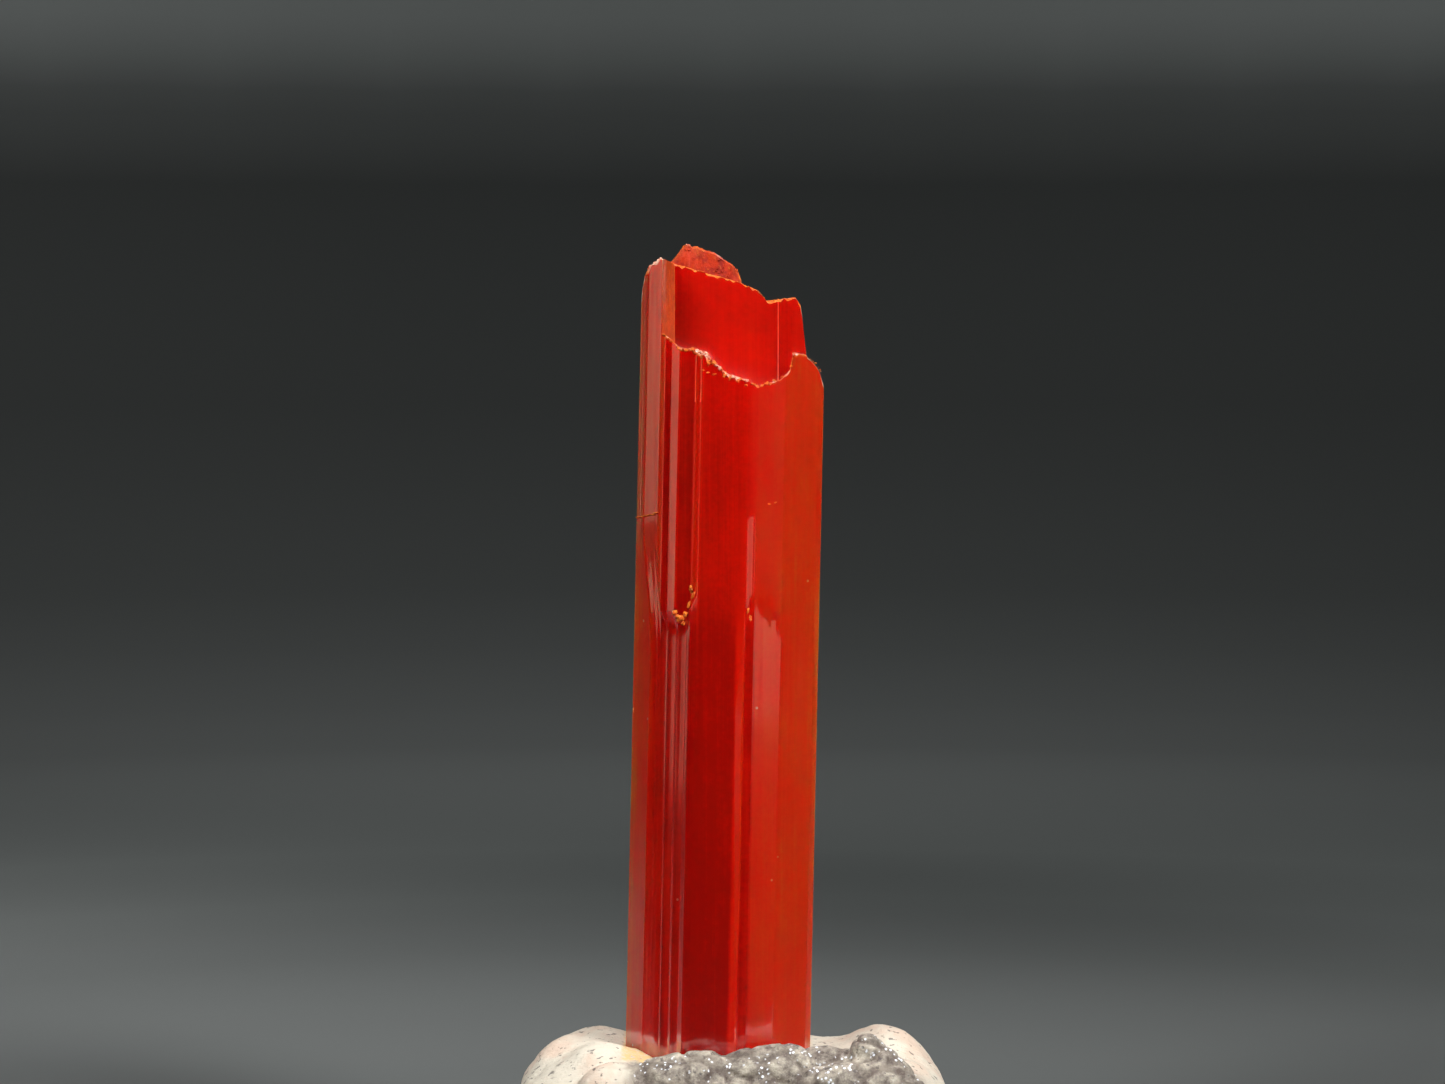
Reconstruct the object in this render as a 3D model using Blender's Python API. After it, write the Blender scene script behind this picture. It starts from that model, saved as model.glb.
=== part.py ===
"""A loose crocoite prism held upright by a small lump of mounting putty.

Metres, +Z up. The viewer's side is -Y, and the origin is on the resting plane,
under the middle of the putty.
"""

import math

import bmesh
import bpy
from mathutils import Vector

MM = 0.001

# Crystal: overall sizes, with the leaning axis given where it leaves the foot
CRYSTAL_HALF_WIDTH = 2.08 * MM
CRYSTAL_FOOT_Z = 2.0 * MM
CRYSTAL_BLANK_TOP_Z = 22.5 * MM
CRYSTAL_TOP_SCALE = 0.985
FOOT_AXIS_X = -0.385 * MM
LEAN_DEG = 1.2
FOOT_CHAMFER = 0.12 * MM

# Crystal: corners of its cross-section in mm from its axis, seen from above, from the left edge round the front
SECTION_FRONT_LEFT = [
    (-2.08, -0.25),
    (-1.86, -0.66),
    (-1.80, -0.70),
    (-1.485, -1.30),
    (-1.305, -1.36),
    (-1.14, -1.60),
    (-1.03, -1.65),
]
SECTION_FRONT = [
    (-0.82, -1.67),
    (-0.79, -1.72),
    (-0.69, -1.71),
    (-0.66, -1.76),
    (0.40, -1.78),
    (0.43, -1.71),
    (0.61, -1.69),
]
SECTION_RIGHT = [
    (1.215, -1.47),
    (1.97, -0.90),
    (2.08, -0.74),
    (2.07, 0.35),
]
SECTION_BACK = [
    (1.42, 1.28),
    (1.34, 1.30),
    (1.05, 1.48),
    (0.20, 1.72),
    (-0.52, 1.76),
    (-0.56, 1.70),
    (-1.25, 1.50),
    (-1.48, 1.32),
    (-1.98, 0.50),
]

# Broken top: each line is the broken edge in front view, (x, z) in mm from left to right
BREAK_TOP_Z = 24.0
FRONT_REACH_Y = -1.95
BACK_REACH_Y = 1.95
RECESS_WALL_Y = -0.32
RECESS_OUTLINE = [
    (-1.30, BREAK_TOP_Z),
    (-1.50, 19.70),
    (-1.28, 19.45),
    (-1.16, 19.34),
    (-0.83, 19.31),
    (-0.58, 19.24),
    (-0.40, 19.05),
    (-0.14, 18.86),
    (0.16, 18.77),
    (0.34, 18.68),
    (0.56, 18.58),
    (0.72, 18.65),
    (1.03, 18.72),
    (1.26, 18.92),
    (1.33, 19.35),
    (1.64, 19.28),
    (1.91, 19.03),
    (2.00, 18.75),
    (2.60, 18.60),
    (2.60, BREAK_TOP_Z),
]
RECESS_SAG = 0.15
WALL_BACK_Y = 0.55
WALL_LINE = [
    (-2.40, 20.95),
    (-1.96, 21.25),
    (-1.60, 21.42),
    (-1.33, 21.35),
    (-0.50, 21.12),
    (0.11, 20.94),
    (0.54, 20.76),
    (0.74, 20.52),
    (1.38, 20.60),
    (1.52, 20.40),
    (1.64, 19.28),
    (1.90, 19.00),
    (2.03, 18.60),
    (2.60, 18.50),
]
WALL_SAG = 0.30
SHARD_BACK_Y = 1.25
SHARD_LINE = [
    (-2.40, 20.70),
    (-1.70, 21.10),
    (-1.34, 21.44),
    (-1.01, 21.82),
    (-0.52, 21.66),
    (-0.05, 21.42),
    (0.16, 21.08),
    (0.22, 20.75),
    (0.95, 20.25),
    (1.45, 20.10),
    (1.60, 19.10),
    (1.90, 18.80),
    (2.60, 18.40),
]
SHARD_SAG = 0.35
REAR_LINE = [
    (-2.40, 19.60),
    (-1.20, 20.60),
    (-0.90, 21.15),
    (-0.45, 21.05),
    (-0.05, 20.30),
    (0.90, 19.90),
    (2.60, 18.30),
]
REAR_SAG = 0.55

# Sliver split off the front, below the left half of the lip, down to its pointed end
SLIVER_FLOOR_Y = -1.545
SLIVER_OUTLINE = [
    (-1.12, 20.0),
    (-1.27, 13.55),
    (-1.05, 13.27),
    (-0.86, 13.75),
    (-0.76, 14.25),
    (-0.62, 20.0),
]

# Narrow scar between the front face and the first right face
SCAR_FLOOR_Y = -1.67
SCAR_OUTLINE = [
    (0.44, 20.0),
    (0.29, 13.40),
    (0.42, 13.38),
    (0.50, 15.9),
    (0.60, 20.0),
]

# Thin crack across the left bevel, as a wedge: its ends in mm, and its mouth and root heights
CRACK_Z = 15.70
CRACK_ENDS = [(-2.19, 0.0), (-1.53, 0.14)]
CRACK_FACE_SLOPE = 1.75
CRACK_FACE_X = -2.23
CRACK_MOUTH = (0.50, 0.30)
CRACK_ROOT = (-0.05, 0.012)

# Putty lump, a soft square in plan
LUMP_HALF_WIDTH = 4.90 * MM
LUMP_HALF_DEPTH = 4.50 * MM
LUMP_TOP_Z = 3.55 * MM
LUMP_BELLY_Z = 2.1 * MM
LUMP_FOOT_SHARE = 0.86
LUMP_SQUARENESS = 2.3
LUMP_WAVES = [(3, 0.018, 0.7), (5, 0.012, 2.1)]
FOOT_POWER = 1.3
SHOULDER_POWER = 0.75
LUMP_SIDES = 64
FOOT_RINGS = 4
CROWN_RINGS = 9
POCKET_GAP = 0.315 * MM
POCKET_CLEAR_TOP_Z = 9.0 * MM

# Kneaded bumps on the putty in mm: (x, y, reach, height)
LUMP_BUMPS = [
    (-2.95, 1.5, 1.3, 0.42),
    (3.30, 1.7, 1.2, 0.50),
    (0.60, 3.0, 1.8, 0.10),
    (2.95, -1.1, 0.75, 0.38),
    (-3.30, -1.5, 1.2, 0.05),
    (0.0, -2.9, 1.0, 0.22),
    (1.7, -2.5, 0.8, 0.18),
    (-1.6, -2.7, 0.7, 0.15),
]

# Fold pressed into the putty at the right front, in mm
CREASE_START = Vector((1.9, -1.7))
CREASE_END = Vector((4.0, -2.5))
CREASE_WIDTH = 0.32
CREASE_DEPTH = 0.28


def clear_scene():
    for item in list(bpy.data.objects):
        bpy.data.objects.remove(item, do_unlink=True)


def make_material(name, color, roughness, transmission, ior):
    material = bpy.data.materials.new(name)
    material.use_nodes = True
    shader = material.node_tree.nodes["Principled BSDF"]
    shader.inputs["Base Color"].default_value = (*color, 1.0)
    shader.inputs["Roughness"].default_value = roughness
    shader.inputs["Metallic"].default_value = 0.0
    shader.inputs["Transmission Weight"].default_value = transmission
    shader.inputs["IOR"].default_value = ior
    return material


def object_from_bmesh(name, mesh_data):
    bmesh.ops.recalc_face_normals(mesh_data, faces=mesh_data.faces)
    mesh = bpy.data.meshes.new(name)
    mesh_data.to_mesh(mesh)
    mesh_data.free()
    made = bpy.data.objects.new(name, mesh)
    bpy.context.collection.objects.link(made)
    return made


def cutter_from_bmesh(name, mesh_data):
    cutter = object_from_bmesh(name, mesh_data)
    cutter.hide_render = True
    cutter.display_type = "WIRE"
    return cutter


def subtract(target, cutter):
    cut = target.modifiers.new(cutter.name, "BOOLEAN")
    cut.operation = "DIFFERENCE"
    cut.solver = "EXACT"
    cut.object = cutter


def bridge_rings(mesh_data, rings):
    """A closed body through rings of vertices, from the lowest to the highest."""
    count = len(rings[0])
    mesh_data.faces.new(rings[0])
    for low, high in zip(rings, rings[1:]):
        for i in range(count):
            j = (i + 1) % count
            mesh_data.faces.new((low[i], low[j], high[j], high[i]))
    mesh_data.faces.new(rings[-1])


def axis_x(z):
    """Where the leaning axis of the crystal is at height z."""
    return FOOT_AXIS_X + math.tan(math.radians(LEAN_DEG)) * (z - CRYSTAL_FOOT_Z)


def section_scale(z):
    """The crystal narrows a little towards its top."""
    share = (z - CRYSTAL_FOOT_Z) / (CRYSTAL_BLANK_TOP_Z - CRYSTAL_FOOT_Z)
    return 1.0 + (CRYSTAL_TOP_SCALE - 1.0) * share


def section_ring(mesh_data, z, inset=0.0):
    """The cross-section as a ring of vertices at height z, drawn in by inset."""
    scale = section_scale(z) - inset / CRYSTAL_HALF_WIDTH
    ring = []
    for x, y in SECTION_FRONT_LEFT + SECTION_FRONT + SECTION_RIGHT + SECTION_BACK:
        ring.append(mesh_data.verts.new((axis_x(z) + x * MM * scale, y * MM * scale, z)))
    return ring


def front_view_cutter(name, outline, near_y, far_y, sag=0.0):
    """A front-view outline of (x, z) run through from near_y to far_y, sinking by sag on its way; all in mm."""
    mesh_data = bmesh.new()
    near = [mesh_data.verts.new(Vector((x, near_y, z)) * MM) for x, z in outline]
    far = [mesh_data.verts.new(Vector((x, far_y, z - sag)) * MM) for x, z in outline]
    bridge_rings(mesh_data, [near, far])
    return cutter_from_bmesh(name, mesh_data)


def above(line):
    """Closes a broken edge line into the outline of all that is above it."""
    return line + [(line[-1][0], BREAK_TOP_Z), (line[0][0], BREAK_TOP_Z)]


def crack_cutter():
    """A thin wedge across the left bevel, wide outside the crystal and narrow at its root."""
    mesh_data = bmesh.new()
    outward = Vector((-CRACK_FACE_SLOPE, -1.0)).normalized()
    corners = []
    for x, lift in CRACK_ENDS:
        face_point = Vector((x, -(x - CRACK_FACE_X) * CRACK_FACE_SLOPE))
        for reach, half_height in (CRACK_MOUTH, CRACK_ROOT):
            spot = face_point + outward * reach
            for side in (-1, 1):
                height = CRACK_Z + lift + side * half_height
                corners.append(mesh_data.verts.new(Vector((spot.x, spot.y, height)) * MM))
    bmesh.ops.convex_hull(mesh_data, input=corners)
    return cutter_from_bmesh("crack_cutter", mesh_data)


def build_crystal(material):
    mesh_data = bmesh.new()
    chamfer_z = CRYSTAL_FOOT_Z + FOOT_CHAMFER
    rings = [
        section_ring(mesh_data, CRYSTAL_FOOT_Z, FOOT_CHAMFER),
        section_ring(mesh_data, chamfer_z),
        section_ring(mesh_data, CRYSTAL_BLANK_TOP_Z),
    ]
    bridge_rings(mesh_data, rings)
    crystal = object_from_bmesh("crocoite_crystal", mesh_data)
    crystal.data.materials.append(material)
    wall_top = above(WALL_LINE)
    cutters = [
        front_view_cutter("recess_cutter", RECESS_OUTLINE, FRONT_REACH_Y, RECESS_WALL_Y, RECESS_SAG),
        front_view_cutter("column_top_cutter", wall_top, FRONT_REACH_Y, RECESS_WALL_Y),
        front_view_cutter("wall_top_cutter", wall_top, RECESS_WALL_Y, WALL_BACK_Y, WALL_SAG),
        front_view_cutter("shard_cutter", above(SHARD_LINE), WALL_BACK_Y, SHARD_BACK_Y, SHARD_SAG),
        front_view_cutter("rear_cutter", above(REAR_LINE), SHARD_BACK_Y, BACK_REACH_Y, REAR_SAG),
        front_view_cutter("sliver_cutter", SLIVER_OUTLINE, FRONT_REACH_Y, SLIVER_FLOOR_Y),
        front_view_cutter("scar_cutter", SCAR_OUTLINE, FRONT_REACH_Y, SCAR_FLOOR_Y),
        crack_cutter(),
    ]
    for cutter in cutters:
        subtract(crystal, cutter)


def plan_radius(angle):
    """The lump's outline in plan, as a share of its half width and half depth."""
    rounded = abs(math.cos(angle)) ** LUMP_SQUARENESS + abs(math.sin(angle)) ** LUMP_SQUARENESS
    wave = sum(size * math.sin(count * angle + phase) for count, size, phase in LUMP_WAVES)
    return rounded ** (-1.0 / LUMP_SQUARENESS) * (1.0 + wave)


def plan_point(angle, share):
    """A point of the lump's plan, at a share of its full radius."""
    radius = plan_radius(angle) * share
    return Vector((LUMP_HALF_WIDTH * math.cos(angle), LUMP_HALF_DEPTH * math.sin(angle))) * radius


def plan_middle(angles):
    """The middle of the plan's bounding box, which goes over the origin."""
    edge = [plan_point(angle, 1.0) for angle in angles]
    xs = [point.x for point in edge]
    ys = [point.y for point in edge]
    return Vector((min(xs) + max(xs), min(ys) + max(ys))) / 2


def lump_profile():
    """(share of the full radius, height) from the foot's edge, out to the belly and in over the crown."""
    profile = []
    for i in range(FOOT_RINGS + 1):
        t = i / FOOT_RINGS
        share = LUMP_FOOT_SHARE + (1 - LUMP_FOOT_SHARE) * math.sin(t * math.pi / 2)
        profile.append((share, LUMP_BELLY_Z * t**FOOT_POWER))
    for i in range(1, CROWN_RINGS):
        t = i / CROWN_RINGS * math.pi / 2
        rise = (LUMP_TOP_Z - LUMP_BELLY_Z) * math.sin(t) ** SHOULDER_POWER
        profile.append((math.cos(t) ** SHOULDER_POWER, LUMP_BELLY_Z + rise))
    return profile


def kneaded_lift(x, y):
    """How far the bumps and the fold lift or sink the crown at (x, y)."""
    spot = Vector((x, y)) / MM
    lift = 0.0
    for bump_x, bump_y, reach, height in LUMP_BUMPS:
        distance = (spot - Vector((bump_x, bump_y))).length / reach
        lift += height * math.exp(-distance * distance)
    along = CREASE_END - CREASE_START
    share = (spot - CREASE_START).dot(along) / along.length_squared
    nearest = CREASE_START + along * max(0.0, min(1.0, share))
    distance = (spot - nearest).length / CREASE_WIDTH
    lift -= CREASE_DEPTH * math.exp(-distance * distance)
    return lift * MM


def pocket_cutter():
    """The space that the crystal's foot takes in the putty, with the gap all round it."""
    mesh_data = bmesh.new()
    rings = [
        section_ring(mesh_data, CRYSTAL_FOOT_Z - POCKET_GAP, -POCKET_GAP),
        section_ring(mesh_data, POCKET_CLEAR_TOP_Z, -POCKET_GAP),
    ]
    bridge_rings(mesh_data, rings)
    return cutter_from_bmesh("pocket_cutter", mesh_data)


def build_lump(material):
    mesh_data = bmesh.new()
    angles = [2 * math.pi * i / LUMP_SIDES for i in range(LUMP_SIDES)]
    middle = plan_middle(angles)
    rings = []
    for share, z in lump_profile():
        ring = []
        crown = max(0.0, (z - LUMP_BELLY_Z) / (LUMP_TOP_Z - LUMP_BELLY_Z))
        for angle in angles:
            x, y = plan_point(angle, share) - middle
            ring.append(mesh_data.verts.new((x, y, z + crown * kneaded_lift(x, y))))
        rings.append(ring)
    bridge_rings(mesh_data, rings)
    lump = object_from_bmesh("putty_lump", mesh_data)
    lump.data.materials.append(material)
    subtract(lump, pocket_cutter())


def main():
    clear_scene()
    build_crystal(make_material("crocoite_red", (0.62, 0.035, 0.008), 0.12, 0.8, 2.3))
    build_lump(make_material("putty_grey", (0.55, 0.50, 0.43), 0.7, 0.0, 1.45))


main()
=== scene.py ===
import math

import bpy
import numpy as np
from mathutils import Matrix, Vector, noise


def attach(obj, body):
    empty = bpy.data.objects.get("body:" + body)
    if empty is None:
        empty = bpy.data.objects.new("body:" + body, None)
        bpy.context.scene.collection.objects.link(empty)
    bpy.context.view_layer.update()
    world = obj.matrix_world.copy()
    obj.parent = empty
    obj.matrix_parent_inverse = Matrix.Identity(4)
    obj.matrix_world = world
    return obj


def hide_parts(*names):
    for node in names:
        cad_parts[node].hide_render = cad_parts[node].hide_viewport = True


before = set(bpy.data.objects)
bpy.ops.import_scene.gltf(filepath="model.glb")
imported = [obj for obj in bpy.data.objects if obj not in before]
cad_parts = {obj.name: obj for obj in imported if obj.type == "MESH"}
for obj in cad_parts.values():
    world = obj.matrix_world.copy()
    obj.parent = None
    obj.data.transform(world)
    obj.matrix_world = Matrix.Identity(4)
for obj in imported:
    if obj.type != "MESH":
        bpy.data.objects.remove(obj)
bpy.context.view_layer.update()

# The crystal leans a little in its putty. The viewer's side is -Y, and sizes below are in mm.
mm = 0.001
print("frame loaded:", sorted(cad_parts))


# Camera

shot = {
    "frameWidth": 32.5125,
    "aimX": -0.236,
    "aimZ": 15.075,
    "distance": 90.0,
    "elevation": 3.0,
    "sensor": 36.0,
}


def addCamera():
    data = bpy.data.cameras.new("photoCamera")
    camera = bpy.data.objects.new("photoCamera", data)
    bpy.context.scene.collection.objects.link(camera)
    tilt = math.radians(shot["elevation"])
    aim = Vector((shot["aimX"], 0, shot["aimZ"])) * mm
    camera.location = aim + Vector((0, -math.cos(tilt), math.sin(tilt))) * shot["distance"] * mm
    camera.rotation_euler = (math.pi / 2 - tilt, 0, 0)
    data.sensor_width = shot["sensor"]
    data.lens = shot["sensor"] * shot["distance"] / shot["frameWidth"]
    data.clip_start = mm
    bpy.context.scene.camera = camera


addCamera()


# Tools for modelling as by hand

def nothingSelected():
    if bpy.context.object and bpy.context.object.mode != "OBJECT":
        bpy.ops.object.mode_set(mode="OBJECT")
    bpy.ops.object.select_all(action="DESELECT")


def active(name):
    piece = bpy.context.active_object
    piece.name = name
    piece.data.name = name
    return piece


def selectEdges(piece, wanted):
    # picks edges by a test on their two ends, then goes back to edit mode
    bpy.ops.object.mode_set(mode="EDIT")
    bpy.ops.mesh.select_mode(type="EDGE")
    bpy.ops.mesh.select_all(action="DESELECT")
    bpy.ops.object.mode_set(mode="OBJECT")
    vertices = piece.data.vertices
    for edge in piece.data.edges:
        low, high = (vertices[i].co for i in edge.vertices)
        edge.select = wanted(low, high)
    bpy.ops.object.mode_set(mode="EDIT")


def readPoints(piece):
    points = np.empty(len(piece.data.vertices) * 3)
    piece.data.vertices.foreach_get("co", points)
    return points.reshape(-1, 3) / mm


def movePoints(piece, points):
    piece.data.vertices.foreach_set("co", (points * mm).ravel())
    piece.data.update()


def outwardNormals():
    bpy.ops.object.mode_set(mode="EDIT")
    bpy.ops.mesh.select_all(action="SELECT")
    bpy.ops.mesh.normals_make_consistent(inside=False)
    bpy.ops.object.mode_set(mode="OBJECT")


def cutAway(piece, cutter, operation="DIFFERENCE"):
    bpy.context.view_layer.objects.active = piece
    cut = piece.modifiers.new(cutter.name, "BOOLEAN")
    cut.operation = operation
    cut.solver = "MANIFOLD"
    cut.material_mode = "TRANSFER"
    cut.object = cutter
    bpy.ops.object.modifier_apply(modifier=cut.name)
    bpy.data.objects.remove(cutter, do_unlink=True)


def settle(value, low, high):
    # 0 below low, 1 above high, and smooth between
    share = np.clip((value - low) / (high - low), 0, 1)
    return share * share * (3 - 2 * share)


def mottle(across, along, seed):
    # smooth random values from -1 to 1 on a lattice of unit cells
    table = np.random.default_rng(seed).uniform(-1, 1, (256, 256))
    u, v = np.broadcast_arrays(across, along)
    cellU, cellV = np.floor(u).astype(int), np.floor(v).astype(int)
    shareU, shareV = settle(u - cellU, 0, 1), settle(v - cellV, 0, 1)
    corner = [[table[(cellU + i) % 256, (cellV + j) % 256] for j in (0, 1)] for i in (0, 1)]
    near = corner[0][0] * (1 - shareU) + corner[1][0] * shareU
    far = corner[0][1] * (1 - shareU) + corner[1][1] * shareU
    return near * (1 - shareV) + far * shareV


def onLine(line, x):
    return np.interp(x, [point[0] for point in line], [point[1] for point in line])


# Crystal: the striated prism before anything breaks off it

prism = {
    "footZ": 2.0,
    "topZ": 22.5,
    "topScale": 0.985,
    "footAxisX": -0.385,
    "lean": 1.2,
    "footChamfer": 0.12,
    "rings": 96,
    # corners of the cross-section from the axis, seen from above, from the left edge round the front.
    # The growth steps on the front change below the split-off sliver, so there are two such fronts
    "upperFront": [(-2.08, -0.25), (-1.93, -0.71), (-1.90, -0.73), (-1.60, -1.29), (-1.485, -1.36),
                   (-1.36, -1.385), (-1.26, -1.525), (-1.17, -1.64), (-1.03, -1.66), (-0.82, -1.68),
                   (-0.66, -1.76), (0.36, -1.78), (0.40, -1.775), (0.43, -1.768), (0.61, -1.712),
                   (1.215, -1.51)],
    "lowerFront": [(-2.08, -0.25), (-1.70, -0.96), (-1.64, -1.01), (-1.44, -1.20), (-1.33, -1.27),
                   (-1.30, -1.325), (-1.125, -1.43), (-1.08, -1.51), (-0.91, -1.60), (-0.82, -1.735),
                   (-0.66, -1.76), (0.36, -1.78), (0.40, -1.78), (0.43, -1.69), (0.61, -1.685),
                   (1.215, -1.41)],
    "right": [(1.97, -0.90), (2.08, -0.74), (2.07, 0.35)],
    "back": [(1.42, 1.28), (1.34, 1.30), (1.05, 1.48), (0.20, 1.72), (-0.52, 1.76), (-0.56, 1.70),
             (-1.25, 1.50), (-1.48, 1.32), (-1.98, 0.50)],
    "frontStep": 0.024,
    "backStep": 0.05,
    # by x from the axis: the height where the lower front gives way to the upper one, and how softly
    "changeZ": [(-1.62, 14.2), (-1.50, 13.45), (0.45, 13.45), (0.53, 14.05), (1.20, 13.40)],
    "changeReach": [(-1.62, 1.6), (-1.50, 0.15), (0.45, 0.15), (0.53, 0.10), (1.20, 0.10), (1.30, 0.6)],
    # a slanting growth step on the front: its left edge by height, its right edge and its slope
    "streak": [(5.0, 0.36), (7.5, 0.30), (10.0, 0.23), (11.6, 0.24), (12.6, 0.35), (13.3, 0.40)],
    "streakTo": 0.40,
    "streakSlope": 0.47,
}


def axisX(z):
    return prism["footAxisX"] + np.tan(np.radians(prism["lean"])) * (z - prism["footZ"])


def sectionScale(z):
    share = (z - prism["footZ"]) / (prism["topZ"] - prism["footZ"])
    return 1 + (prism["topScale"] - 1) * share


def sectionPlan(frontStep, backStep):
    # upper and lower cross-sections point by point, their outward directions and the way round them
    upper = np.array(prism["upperFront"] + prism["right"] + prism["back"])
    lower = np.array(prism["lowerFront"] + prism["right"] + prism["back"])
    onFront = len(prism["upperFront"]) + 2
    points, outward, way = [], [], []
    travelled = 0.0
    for i in range(len(upper)):
        ends = np.array([[corners[i], corners[(i + 1) % len(corners)]] for corners in (upper, lower)])
        runs = ends[:, 1] - ends[:, 0]
        length = np.hypot(runs[:, 0], runs[:, 1]).max()
        count = max(1, round(length / (frontStep if i < onFront else backStep)))
        middle = runs.mean(axis=0)
        for j in range(count):
            points.append(ends[:, 0] + runs * j / count)
            outward.append(np.array((middle[1], -middle[0])) / np.hypot(*middle))
            way.append(travelled + length * j / count)
        travelled += length
    return np.array(points), np.array(outward), np.array(way)


def sectionAt(plan, x, z):
    # blends from the lower cross-section to the upper one
    change, reach = onLine(prism["changeZ"], x), onLine(prism["changeReach"], x)
    share = settle(z, change - reach, change + reach)[:, None]
    outline = plan[:, 0] * share + plan[:, 1] * (1 - share)
    edge = onLine(prism["streak"], z)
    inStreak = (outline[:, 1] < -1.7) & (outline[:, 0] > edge) & (outline[:, 0] <= prism["streakTo"])
    outline[:, 1] += np.where(inStreak, (outline[:, 0] - edge) * prism["streakSlope"], 0)
    return outline


def striae(way, x, z):
    # growth lines along the prism: strong on the left, weak on the plain front face
    strength = 1.0 - 0.85 * settle(x, -0.75, -0.55) * (1 - settle(x, 1.2, 1.4))
    lines = 0.0050 * mottle(way * 3.0, z * 0.05, 11)
    lines += 0.0030 * mottle(way * 8.0, z * 0.08, 12)
    lines += 0.0014 * mottle(way * 17.0, z * 0.10, 13)
    return lines * strength


def roundIndex(points, count):
    # which point of the section each vertex of a cylinder primitive stands for
    turn = np.arctan2(points[:, 1], points[:, 0]) / (2 * math.pi)
    return np.round((turn - 0.25) * count).astype(int) % count


def makePrism():
    plan, outward, way = sectionPlan(prism["frontStep"], prism["backStep"])
    nothingSelected()
    tall = (prism["topZ"] - prism["footZ"]) * mm
    middle = (prism["topZ"] + prism["footZ"]) / 2 * mm
    bpy.ops.mesh.primitive_cylinder_add(vertices=len(plan), radius=2 * mm, depth=tall,
                                        location=(0, 0, middle))
    piece = active("crocoiteCrystal")
    bpy.ops.object.transform_apply(location=True, rotation=True, scale=True)
    selectEdges(piece, lambda low, high: abs(low.z - high.z) > mm)
    bpy.ops.mesh.subdivide(number_cuts=prism["rings"])
    bpy.ops.object.mode_set(mode="OBJECT")
    points = readPoints(piece)
    index = roundIndex(points, len(plan))
    z = points[:, 2]
    foot = z < prism["footZ"] + 0.01
    firstRing = prism["footZ"] + (prism["topZ"] - prism["footZ"]) / (prism["rings"] + 1)
    z = np.where(np.abs(z - firstRing) < 0.02, prism["footZ"] + prism["footChamfer"], z)
    outline = sectionAt(plan[index], plan[index, 0, 0], z)
    scale = sectionScale(z) - np.where(foot, prism["footChamfer"] / 2.08, 0)
    relief = striae(way[index], outline[:, 0], z)
    points[:, 0] = axisX(z) + outline[:, 0] * scale + outward[index, 0] * relief
    points[:, 1] = outline[:, 1] * scale + outward[index, 1] * relief
    points[:, 2] = z
    movePoints(piece, points)
    outwardNormals()
    return piece


# Crystal: the recess that broke out of the front of its top

recess = {
    "wallY": -0.32,
    "frontY": -2.4,
    "rightX": 2.7,
    "leftAtFront": -1.60,
    "leftAtWall": -1.30,
    "capZ": 24.0,
    # breaks above this belong to the top, and those in front of frontBreakY to the front's splits
    "topFromZ": 18.3,
    "frontBreakY": -1.3,
    "sag": 0.15,
    "stepX": 0.030,
    "rowsY": 84,
    # the step down the wall: how high, and from which x to which
    "wallStep": 0.05,
    "wallStepX": (0.98, 1.03),
    "roughness": 0.022,
    "chamferReach": 0.16,
    "lip": [(-1.70, 19.90), (-1.50, 19.74), (-1.28, 19.55), (-1.16, 19.46), (-0.83, 19.43), (-0.58, 19.34),
            (-0.40, 19.12), (-0.14, 18.90), (0.16, 18.80), (0.34, 18.71), (0.56, 18.60), (0.72, 18.68),
            (1.03, 18.75), (1.26, 18.94), (1.33, 19.35), (1.64, 19.28), (1.91, 19.03), (2.00, 18.75),
            (2.60, 18.60)],
    # how deep the front edge is chipped, along the lip
    "chamfer": [(-1.60, 0.05), (-1.48, 0.07), (-0.95, 0.06), (-0.80, 0.22), (-0.60, 0.24), (-0.50, 0.14),
                (0.0, 0.15), (0.25, 0.10), (0.55, 0.05), (1.2, 0.05), (1.33, 0.09), (1.5, 0.03), (2.0, 0.02)],
}


def frontOf(x, z):
    # where the prism's front surface is at x
    return onLine(prism["upperFront"] + prism["right"][:2], x - axisX(z))


def recessFloor(x, y):
    inward = np.maximum(y - frontOf(x, 19.0), 0)
    depth = np.clip(inward / 1.4, 0, 1)
    floor = onLine(recess["lip"], x) - recess["sag"] * depth
    grit = mottle(x * 7, y * 7, 21) + 0.6 * mottle(x * 16, y * 16, 22) + 0.4 * mottle(x * 34, y * 34, 23)
    floor = floor + recess["roughness"] * grit
    bite = 0.75 + 0.60 * mottle(x * 11, y * 4, 24) + 0.50 * mottle(x * 27, y * 12, 25)
    edge = 1 - settle(inward, 0, recess["chamferReach"] * (0.6 + onLine(recess["chamfer"], x) * 3))
    return floor - onLine(recess["chamfer"], x) * edge * np.maximum(bite, 0.15)


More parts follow.
